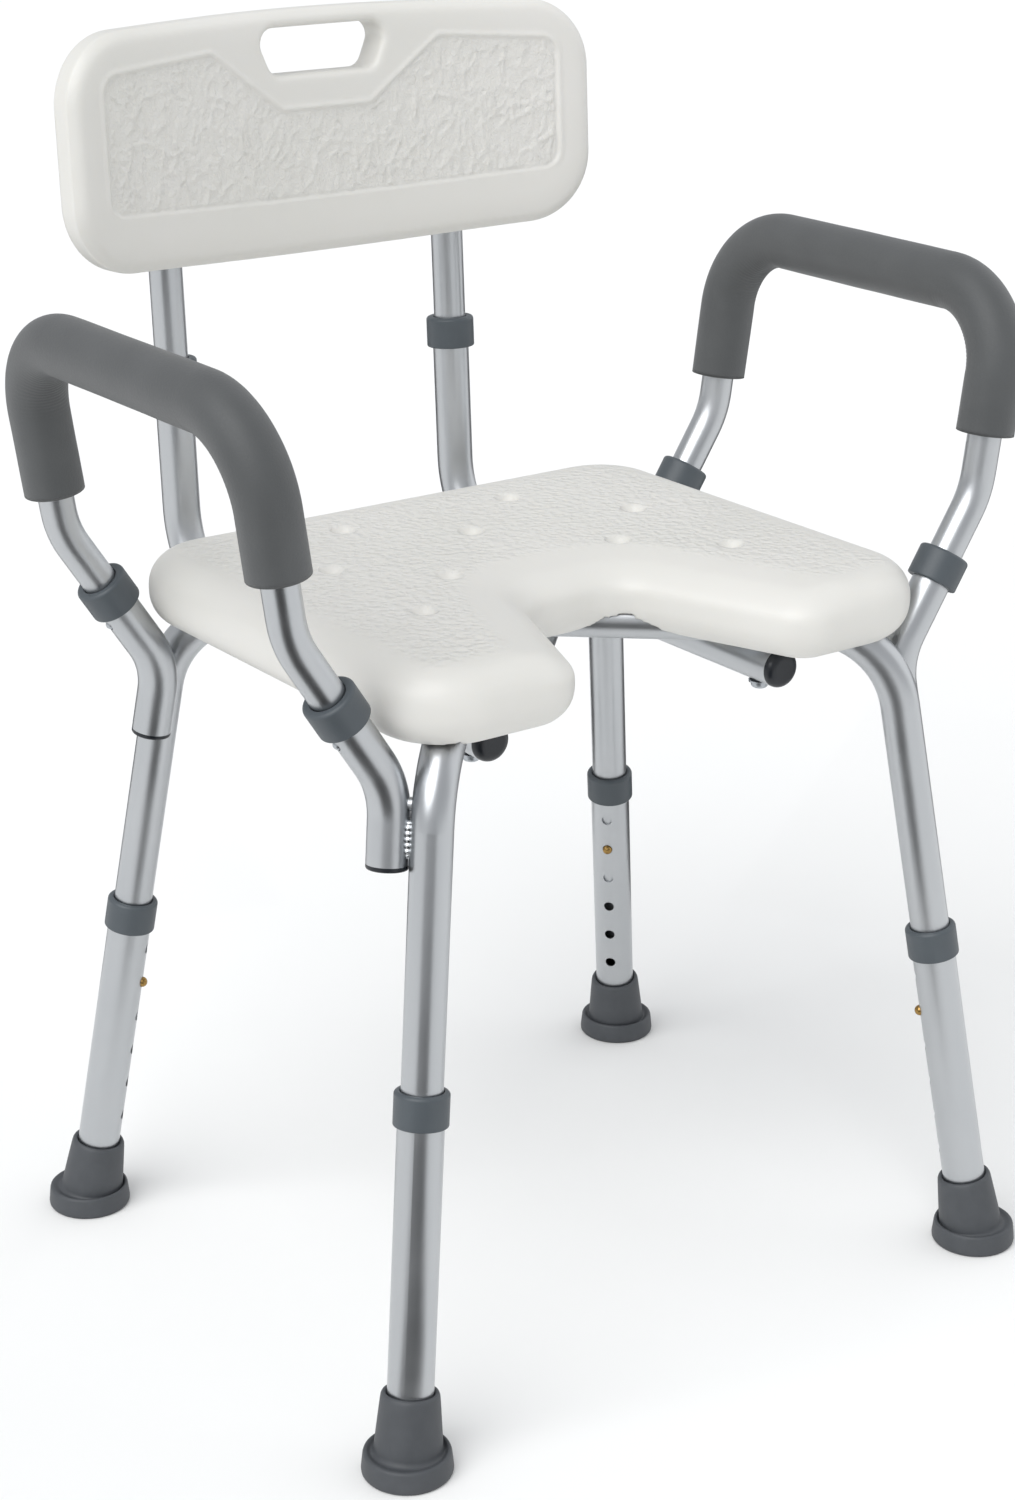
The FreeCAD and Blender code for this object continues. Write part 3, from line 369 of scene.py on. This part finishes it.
GRIP_RADIUS = 0.0185
GRIP_BORE = 0.0112
GRIP_BEND = 0.052
GRIP_LEAN = math.radians(8.2)
GRIP_REACH = {"front": 0.088, "rear": 0.101}
GRIP_SIDES = 56
GRIP_RIM = 0.0022  # rounding of the sleeve's cut ends
GRIP_RIM_TURNS = (0.35, 0.75, 1.15, math.pi / 2)
GRIP_LIP = 0.004  # how far the skin turns in beside the tube
STRAIGHT_STEPS = {"front": 14, "top": 60, "rear": 18}
BEND_STEPS = 96
CREASE_PITCH = 0.0034
CREASE_DEEP = 0.00045
CREASE_WANDER = 3  # how far, in radians, noise pushes a crease off its even pitch
WANDER_SCALE, WANDER_ROUND = 60, 0.15  # the noise's features per metre, and per side of the ring
SQUEEZE_DEEP = 0.0004
SWELL, SWELL_SCALE = 0.00025, 25


def foam_skin():
    """NBR foam: a soft, matt dark grey skin with a faint sheen, whose cells are 1.4 mm and finer."""
    material, tree, shader = start_material("nbr_foam", IOR=1.45, Sheen_Weight=0.12, Sheen_Roughness=0.6)
    place = object_place(tree)
    cells = noise_field(tree, place, 1 / 0.0014, 4.0)
    roughen(tree, shader, cells, 0.44, 0.62)
    tint(tree, shader, noise_field(tree, place, 22.0, 3.0), "#444647", "#535556")
    relief(tree, shader, cells, 0.35, 0.0004)
    return material


def grip_path(side):
    """Stations along the grip's axis: place, direction, the way to the inside of the bend, and how bent."""
    low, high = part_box(f"foam_grip_{side}")
    across = 1 if side == "right" else -1
    top_x = (high.x if across > 0 else low.x) - across * GRIP_RADIUS
    top_z = high.z - GRIP_RADIUS
    front = Vector((top_x, low.y + GRIP_RADIUS, top_z))
    rear = Vector((top_x, high.y - GRIP_RADIUS, top_z))
    down = Vector((-across * math.sin(GRIP_LEAN), 0, -math.cos(GRIP_LEAN)))
    run = Vector((0, 1, 0))
    stations = []

    def straight(start, end, inward, steps):
        for step in range(steps + 1):
            stations.append((start.lerp(end, step / steps), (end - start).normalized(), inward, 0.0))

    def bend(corner, back, ahead):
        centre = corner + (back + ahead) * GRIP_BEND
        for step in range(1, BEND_STEPS):
            turn = math.pi / 2 * step / BEND_STEPS
            spoke = -ahead * math.cos(turn) - back * math.sin(turn)
            heading = -back * math.cos(turn) + ahead * math.sin(turn)
            squeeze = math.sin(math.pi * step / BEND_STEPS) ** 0.5
            stations.append((centre + spoke * GRIP_BEND, heading, -spoke, squeeze))

    front_foot, rear_foot = front + down * GRIP_REACH["front"], rear + down * GRIP_REACH["rear"]
    straight(front_foot, front + down * GRIP_BEND, run, STRAIGHT_STEPS["front"])
    bend(front, down, run)
    straight(front + run * GRIP_BEND, rear - run * GRIP_BEND, down, STRAIGHT_STEPS["top"])
    bend(rear, -run, down)
    straight(rear + down * GRIP_BEND, rear_foot, -run, STRAIGHT_STEPS["rear"])
    return stations


def foam_grip(side, material):
    stations = grip_path(side)
    rings = []
    walked = 0.0
    for n, (middle, heading, inward, squeeze) in enumerate(stations):
        walked += (middle - stations[n - 1][0]).length if n else 0.0
        beside = heading.cross(inward).normalized()
        ring = []
        for k in range(GRIP_SIDES):
            turn = 2 * math.pi * k / GRIP_SIDES
            inner = max(0.0, math.cos(turn)) ** 2
            wander = noise.noise(middle * WANDER_SCALE + Vector((k * WANDER_ROUND, 0, 0)))
            crease = 0.5 + 0.5 * math.sin(2 * math.pi * walked / CREASE_PITCH + CREASE_WANDER * wander)
            depth = CREASE_DEEP * squeeze * inner * crease**3
            swell = SWELL * noise.noise(middle * SWELL_SCALE)
            radius = GRIP_RADIUS - depth + swell - SQUEEZE_DEEP * squeeze * inner
            ring.append(middle + (inward * math.cos(turn) + beside * math.sin(turn)) * radius)
        rings.append(ring)
    rings = round_end(rings, stations[0][0], -stations[0][1])[::-1] + rings
    rings += round_end(rings, stations[-1][0], stations[-1][1])
    grip = skin_of_rings(f"nbr_grip_{side}", rings, material, f"arm_{side}")
    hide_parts(f"foam_grip_{side}")


def round_end(rings, middle, outward):
    """Rings that round a sleeve's cut end over and turn it in to the tube."""
    edge = min(rings[0], rings[-1], key=lambda ring: (Vector(ring[0]) - middle).length)
    over = []
    for turn in GRIP_RIM_TURNS:
        inset, out = GRIP_RIM * (1 - math.cos(turn)), GRIP_RIM * math.sin(turn)
        over.append([p + (middle - p).normalized() * inset + outward * (out - GRIP_RIM) for p in edge])
    for radius in (0.6 * GRIP_RADIUS + 0.4 * GRIP_BORE, GRIP_BORE):
        over.append([middle + (p - middle).normalized() * radius for p in edge])
    over.append([middle + (p - middle).normalized() * GRIP_BORE - outward * GRIP_LIP for p in edge])
    return over


soft_foam = foam_skin()
for side in SIDES:
    foam_grip(side, soft_foam)


# ---- Seat -----------------------------------------------------------------------------------------
# One hollow blow-moulding in off-white HDPE. The mould's sitting area is pebbled, which leaves the rims
# and the smooth lip that slopes into the cut-out plain; nine shallow plain dimples gather the water.

SEAT_CELL, SEAT_SMOOTHING = 0.0018, 4
CUT_OUT = [(-0.085, -0.1685), (-0.037, -0.0425), (0.037, -0.0425), (0.085, -0.1685)]
CUT_OUT_BENDS = (0.034, 0.034)
LIP_WIDE = 0.044
LIP_DROP = 0.0050
DIMPLE_DROP = 0.0024
DIMPLE_FLOOR, DIMPLE_RIM = 0.0040, 0.0084
DIMPLE_PLAIN = (0.0075, 0.0095)  # the pebbles start between these distances from a dimple's middle
RIM_PLAIN = (0.016, 0.034)
LIP_START, LIP_PLAIN = 0.004, (0.034, LIP_WIDE + 0.006)
SEAT_TOP_FACING = (0.80, 0.97)  # how squarely up a face has to look before the pebbles start
PEBBLE_DEEP = 0.0016
# The dimples' places as shares of the seat's width and depth from the chair's middle, for one side.
DIMPLES = [(0, 0.187), (0.165, 0.336), (0.297, 0.131), (0.165, -0.021), (0.297, -0.166)]
ARC_STEPS = 8


def moulded_skin(node, name, cell, smoothing):
    """A copy of a CAD node's mesh remade as an even, fine skin, and its points and normals."""
    piece = bpy.data.objects.new(name, frame["nodes"][node].data.copy())
    bpy.context.scene.collection.objects.link(piece)
    skin = piece.modifiers.new("skin", "REMESH")
    skin.mode = "VOXEL"
    skin.voxel_size = cell
    relax = piece.modifiers.new("relax", "SMOOTH")
    relax.iterations = smoothing
    relax.factor = 0.5
    bpy.context.view_layer.update()
    ready = piece.evaluated_get(bpy.context.evaluated_depsgraph_get())
    mesh = bpy.data.meshes.new_from_object(ready)
    mesh.name = name
    bpy.data.objects.remove(piece)
    mesh.shade_smooth()
    points = np.empty(len(mesh.vertices) * 3)
    mesh.vertices.foreach_get("co", points)
    normals = np.empty(len(mesh.vertices) * 3)
    mesh.vertex_normals.foreach_get("vector", normals)
    return mesh, points.reshape(-1, 3), normals.reshape(-1, 3)


def smooth_step(value, low, high):
    t = np.clip((value - low) / (high - low), 0, 1)
    return t * t * (3 - 2 * t)


def rounded_line(corners, bends, closed):
    """A fine line through the corners with an arc at each bend."""
    corners = [Vector(c) for c in corners]
    count = len(corners)
    line = []
    for i, corner in enumerate(corners):
        radius = bends[i]
        if not radius:
            line.append(corner)
            continue
        back = (corners[i - 1] - corner).normalized()
        ahead = (corners[(i + 1) % count] - corner).normalized()
        half = back.angle(ahead) / 2
        centre = corner + (back + ahead).normalized() * (radius / math.sin(half))
        start = corner + back * (radius / math.tan(half)) - centre
        end = corner + ahead * (radius / math.tan(half)) - centre
        for step in range(ARC_STEPS + 1):
            line.append(centre + start.lerp(end, step / ARC_STEPS).normalized() * radius)
    if closed:
        line.append(line[0])
    return np.array([tuple(p) for p in line])


def distance_to_line(points, line):
    """Distance in the plane from each point to the nearest place on the line."""
    best = np.full(len(points), np.inf)
    for a, b in zip(line[:-1], line[1:]):
        run = b - a
        t = np.clip(((points - a) @ run) / max(run @ run, 1e-18), 0, 1)
        best = np.minimum(best, np.hypot(*(points - a - t[:, None] * run).T))
    return best


def inside_line(points, line):
    """Whether each point lies inside the closed line."""
    inside = np.zeros(len(points), bool)
    for (ax, ay), (bx, by) in zip(line[:-1], line[1:]):
        crosses = (ay > points[:, 1]) != (by > points[:, 1])
        slope = (bx - ax) / (by - ay) if by != ay else 0.0
        inside ^= crosses & (points[:, 0] < ax + slope * (points[:, 1] - ay))
    return inside


def keep_mask(mesh, name, values):
    """Stores one number per point, which the material reads to know where the mould is textured."""
    mesh.attributes.new(name, "FLOAT", "POINT").data.foreach_set("value", values.astype(np.float32))


def blow_moulded_hdpe(name, texture, depth):
    """HDPE: a warm off-white, waxy plastic that lets a little light in. Its roughness is that of the
    blasted mould; texture adds the pattern cut in the mould where the point mask says so."""
    material, tree, shader = start_material(
        name,
        IOR=1.54,
        Subsurface_Weight=0.10,
        Subsurface_Scale=0.004,
        Subsurface_Radius=(1.0, 0.85, 0.65),
    )
    place = object_place(tree)
    mask = add(tree, "ShaderNodeAttribute", attribute_name="mould_texture").outputs["Fac"]
    drift = noise_field(tree, place, 9.0, 3.0)
    tint(tree, shader, drift, "#d7d6d0", "#dedcd8")
    roughen(tree, shader, drift, 0.36, 0.46)
    fine = noise_field(tree, place, 1 / 0.0012, 3.0)
    blasted = add(tree, "ShaderNodeBump", {"Height": fine, "Strength": 0.10, "Distance": 0.0002})
    masked = add(tree, "ShaderNodeMath", {0: texture(tree, place), 1: mask}, operation="MULTIPLY")
    values = {"Height": masked.outputs["Value"], "Strength": 0.9, "Distance": depth}
    pattern = add(tree, "ShaderNodeBump", {**values, "Normal": blasted.outputs["Normal"]})
    tree.links.new(pattern.outputs["Normal"], shader.inputs["Normal"])
    return material


def pebbles(tree, place):
    """Irregular pebbles about 5 mm across, run together here and there."""
    warp = add(tree, "ShaderNodeTexNoise", {"Vector": place, "Scale": 110.0, "Detail": 2.0})
    moved = add(
        tree,
        "ShaderNodeVectorMath",
        {0: warp.outputs["Color"], 1: (0.005, 0.005, 0.005), 2: place},
        operation="MULTIPLY_ADD",
    )
    stones = add(
        tree,
        "ShaderNodeTexVoronoi",
        {"Vector": moved.outputs["Vector"], "Scale": 1 / 0.0048, "Smoothness": 0.6},
        feature="SMOOTH_F1",
    )
    return stones.outputs["Distance"]


def to_dimples(plan, wide, deep):
    """Distance from each point to the middle of the nearest dimple; their rows follow the seat's size."""
    spots = [(side * x * wide, y * deep) for x, y in DIMPLES for side in (-1, 1)]
    return np.min([np.hypot(*(plan - np.array(spot)).T) for spot in spots], axis=0)


def seat():
    mesh, points, normals = moulded_skin("seat", "hdpe_seat", SEAT_CELL, SEAT_SMOOTHING)
    low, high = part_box("seat")
    plan = points[:, :2] - np.array([chair_middle.x, chair_middle.y])
    cut_line = rounded_line(CUT_OUT, (0, *CUT_OUT_BENDS, 0), closed=False)
    to_cut = distance_to_line(plan, cut_line)
    to_rim = np.minimum.reduce(
        [high.x - np.abs(points[:, 0]), points[:, 1] - low.y, high.y - points[:, 1], to_cut]
    )
    upper = smooth_step(points[:, 2], (low.z + high.z) / 2, high.z)
    lip = (1 - smooth_step(to_cut, LIP_START, LIP_WIDE)) * upper
    dimples = to_dimples(plan, high.x - low.x, high.y - low.y)
    dish = (1 - smooth_step(dimples, DIMPLE_FLOOR, DIMPLE_RIM)) * upper
    points[:, 2] -= LIP_DROP * lip + DIMPLE_DROP * dish
    texture = smooth_step(normals[:, 2], *SEAT_TOP_FACING) * smooth_step(dimples, *DIMPLE_PLAIN)
    texture *= smooth_step(to_rim, *RIM_PLAIN) * smooth_step(to_cut, *LIP_PLAIN)
    keep_mask(mesh, "mould_texture", texture)
    mesh.vertices.foreach_set("co", points.ravel())
    mesh.update()
    material = blow_moulded_hdpe("hdpe_pebbled", pebbles, PEBBLE_DEEP)
    piece = place_piece("hdpe_seat", mesh, material, "frame")
    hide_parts("seat")


seat()


# ---- Backrest -------------------------------------------------------------------------------------
# A second HDPE blow-moulding, curved round the sitter's back. A thin ridge frames its sunk panel, which
# steps down round the carrying slot and is cut with a leaf-like crinkle.

REST_CELL, REST_SMOOTHING = 0.0013, 5
PANEL_HALF = 0.175
PANEL_LOW, PANEL_HIGH = 0.033, 0.135
PANEL_CROWN, CROWN_BEND = 0.007, 2.8
NOTCH_TOP, NOTCH_FOOT, NOTCH_DEEP = 0.087, 0.034, 0.040
PANEL_CORNER, NOTCH_BENDS = 0.013, (0.007, 0.006)
RIDGE_HIGH = 0.0010
RIDGE_WIDE = 0.0017
CRINKLE_HIGH = 0.0012
CRINKLE_SEED = 7  # noise_vector follows the clock until a seed is set
CREASES = ((88, 1.0), (130, 0.8))  # cells per metre, and how high their creases are
CREASE_SQUASH = 0.62
CREASE_HALF_WIDE = 0.0018
CREASE_BEND, CREASE_BEND_SCALE = 0.006, 70  # how far the creases wander, and how often in a metre
FADE_MEAN, FADE_SWING, FADE_PACE = 0.62, 1.5, 1.1  # how high creases are, and how fast that changes
CREASE_START, CREASE_FULL = 0.0018, 0.0042  # distances in from the panel's ridge
VEIN_DEEP = 0.0008
FRONT_FACING, ROLL_FACING = (0.35, 0.75), (0.0, 0.9)  # how squarely ahead a face has to look
REST_HALF, REST_HIGH, REST_CORNER = 0.200, 0.161, 0.046
REST_ROLL, REST_ROLL_DROP = 0.020, 0.0026


def panel_outline():
    """The sunk panel's outline, from its lower corner on the +X side up, in and down round the slot, over
    to the other side, and back along the crowned lower edge."""
    foot = PANEL_HIGH - NOTCH_DEEP
    right = [
        (PANEL_HALF, PANEL_LOW + PANEL_CROWN),
        (PANEL_HALF, PANEL_HIGH - PANEL_CROWN),
        (NOTCH_TOP, PANEL_HIGH),
        (NOTCH_FOOT, foot),
    ]
    left = [(-x, z) for x, z in reversed(right)]
    bends = (PANEL_CORNER, PANEL_CORNER, *NOTCH_BENDS)
    bends = (*bends, *reversed(bends), CROWN_BEND)
    return rounded_line([*right, *left, (0, PANEL_LOW)], bends, closed=True)


def rest_outline():
    """The backrest's outline from the front: long edges that crown in the middle, and large corners."""
    right = [(REST_HALF, PANEL_CROWN), (REST_HALF, REST_HIGH - PANEL_CROWN), (0, REST_HIGH)]
    left = [(-x, z) for x, z in reversed(right[:2])]
    bends = (REST_CORNER, REST_CORNER, CROWN_BEND, REST_CORNER, REST_CORNER, CROWN_BEND)
    return rounded_line([*right, *left, (0, 0)], bends, closed=True)


def crinkle(x, z):
    """Height from 0 to 1 of the crinkle: short curved creases, which mostly run up and down."""
    spot = Vector((x, z * CREASE_SQUASH, 0.0))
    moved = spot + noise.noise_vector(spot * CREASE_BEND_SCALE) * CREASE_BEND
    height = 0.0
    for scale, weight in CREASES:
        place = moved * scale + Vector((scale, 0, 0))
        near = noise.voronoi(place)[0]
        crease = max(0.0, 1 - (near[1] - near[0]) / (scale * CREASE_HALF_WIDE))
        high = FADE_MEAN + FADE_SWING * noise.noise(place * FADE_PACE + Vector((0, 0, 9)))
        fade = min(1.0, max(0.0, high))
        height = max(height, weight * crease * fade)
    return height


def fuller_edge(distance):
    """How far a face has sunk, this far from its rim, where it rolls over into the side."""
    return REST_ROLL_DROP * np.clip(1 - distance / REST_ROLL, 0, 1) ** 2


def backrest():
    mesh, points, normals = moulded_skin("backrest", "hdpe_backrest", REST_CELL, REST_SMOOTHING)
    up = np.array(joints["back_lift"]["axis"])
    ahead = np.cross([1, 0, 0], up)
    height = points @ up
    height -= height.min()
    facing = normals @ ahead
    front = smooth_step(facing, *FRONT_FACING)
    face = np.stack([points[:, 0], height], axis=1)
    outline = panel_outline()
    to_panel = distance_to_line(face, outline)
    within = inside_line(face, outline)
    deep_in = smooth_step(np.where(within, to_panel, 0.0), CREASE_START, CREASE_FULL)
    lift = RIDGE_HIGH * np.exp(-((to_panel / RIDGE_WIDE) ** 2))
    noise.seed_set(CRINKLE_SEED)
    for n in np.flatnonzero((deep_in > 0) & (front > 0.5)):
        lift[n] += CRINKLE_HIGH * deep_in[n] * crinkle(face[n, 0], face[n, 1])
    rolled = fuller_edge(distance_to_line(face, rest_outline())) * smooth_step(facing, *ROLL_FACING)
    points += normals * (lift * front)[:, None] - ahead * rolled[:, None]
    keep_mask(mesh, "mould_texture", deep_in * front)
    mesh.vertices.foreach_set("co", points.ravel())
    mesh.update()
    material = blow_moulded_hdpe("hdpe_crinkled", veins, VEIN_DEEP)
    piece = place_piece("hdpe_backrest", mesh, material, "back")
    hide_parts("backrest")


def veins(tree, place):
    """The fine wrinkling between the crinkle's ridges, about 3.5 mm apart."""
    return noise_field(tree, place, 1 / 0.0035, 3.0, Distortion=1.2)


backrest()


# ---- Floor, light and camera ----------------------------------------------------------------------
# A plain pale floor, two broad soft suns under an even sky, and a long lens a metre above the floor.

FLOOR_HALF = 30.0
CAMERA_PLACE = Vector((-1.0370, -1.4356, 1.0060))
CAMERA_TURN = math.radians(-35.86)
CAMERA_DOWN = math.radians(20.74)
CAMERA_ROLL = math.radians(0.09)
CAMERA_LENS, CAMERA_SENSOR = 69.96, 36.0
SUNS = [  # name, where it shines from, strength, and how wide it is in the sky
    ("key", (-1.5, -0.5, 1.7), 2.0, 55),
    ("fill", (1.6, -0.3, 0.9), 0.55, 70),
]
# Black cards lie on the floor, out of the lamps' way: the tubes mirror them as the dark bands down their
# length. Each is a sector round the chair: its two bearings from the lens's side, and its reach in metres.
CARDS = [
    ("card_front", -21, 27, 0.42, 5.0),
    ("card_left", 128, 160, 0.55, 6.0),
    ("card_right", -160, -128, 0.55, 6.0),
]
CARD_STEPS, CARD_HIGH = 8, 0.001
SKY_COLOUR, SKY_STRENGTH = (0.95, 0.97, 1.0, 1.0), 0.62


def pale_floor():
    """Matt studio paper, with the faintest mottle."""
    material, tree, shader = start_material("studio_paper", Roughness=0.95)
    mottle = noise_field(tree, object_place(tree), 3.0, 4.0)
    tint(tree, shader, mottle, "#f3f3f2", "#f6f6f5")
    mesh = bpy.data.meshes.new("floor")
    corners = [(-1, -1), (1, -1), (1, 1), (-1, 1)]
    mesh.from_pydata([(x * FLOOR_HALF, y * FLOOR_HALF, 0) for x, y in corners], [], [(0, 1, 2, 3)])
    mesh.materials.append(material)
    floor = bpy.data.objects.new("floor", mesh)
    bpy.context.scene.collection.objects.link(floor)


def soft_lamps():
    for name, place, strength, width in SUNS:
        light = bpy.data.lights.new(name, "SUN")
        light.energy = strength
        light.angle = math.radians(width)
        lamp = bpy.data.objects.new(name, light)
        lamp.rotation_euler = (-Vector(place)).to_track_quat("-Z", "Y").to_euler()
        bpy.context.scene.collection.objects.link(lamp)


def black_cards():
    """Felt-covered board, which only the tubes' reflections see."""
    material, tree, shader = start_material("black_card", Roughness=0.9)
    tint(tree, shader, noise_field(tree, object_place(tree), 40.0, 2.0), "#101010", "#181818")
    for name, first, last, near, far in CARDS:
        steps = [n / CARD_STEPS for n in range(CARD_STEPS + 1)]
        bearings = [math.radians(first + (last - first) * step) for step in steps]
        rim = [(near, b) for b in bearings] + [(far, b) for b in reversed(bearings)]
        plan = [(CAMERA_TURN - bearing, reach) for reach, bearing in rim]
        points = [(reach * math.sin(b), -reach * math.cos(b), CARD_HIGH) for b, reach in plan]
        mesh = bpy.data.meshes.new(name)
        mesh.from_pydata(points, [], [tuple(range(len(points)))])
        mesh.materials.append(material)
        card = bpy.data.objects.new(name, mesh)
        card.visible_camera = False
        card.visible_diffuse = False
        card.visible_shadow = False
        bpy.context.scene.collection.objects.link(card)


def soft_sky():
    world = bpy.data.worlds.new("studio")
    world.use_nodes = True
    background = world.node_tree.nodes["Background"]
    background.inputs["Color"].default_value = SKY_COLOUR
    background.inputs["Strength"].default_value = SKY_STRENGTH
    bpy.context.scene.world = world


def camera():
    lens = bpy.data.cameras.new("camera")
    lens.lens = CAMERA_LENS
    lens.sensor_width = CAMERA_SENSOR
    eye = bpy.data.objects.new("camera", lens)
    eye.location = CAMERA_PLACE
    turn = Matrix.Rotation(CAMERA_TURN, 4, "Z") @ Matrix.Rotation(math.pi / 2 - CAMERA_DOWN, 4, "X")
    eye.rotation_euler = (turn @ Matrix.Rotation(CAMERA_ROLL, 4, "Z")).to_euler()
    bpy.context.scene.collection.objects.link(eye)
    bpy.context.scene.camera = eye


pale_floor()
soft_lamps()
black_cards()
soft_sky()
camera()
bpy.context.scene.view_settings.view_transform = "Standard"
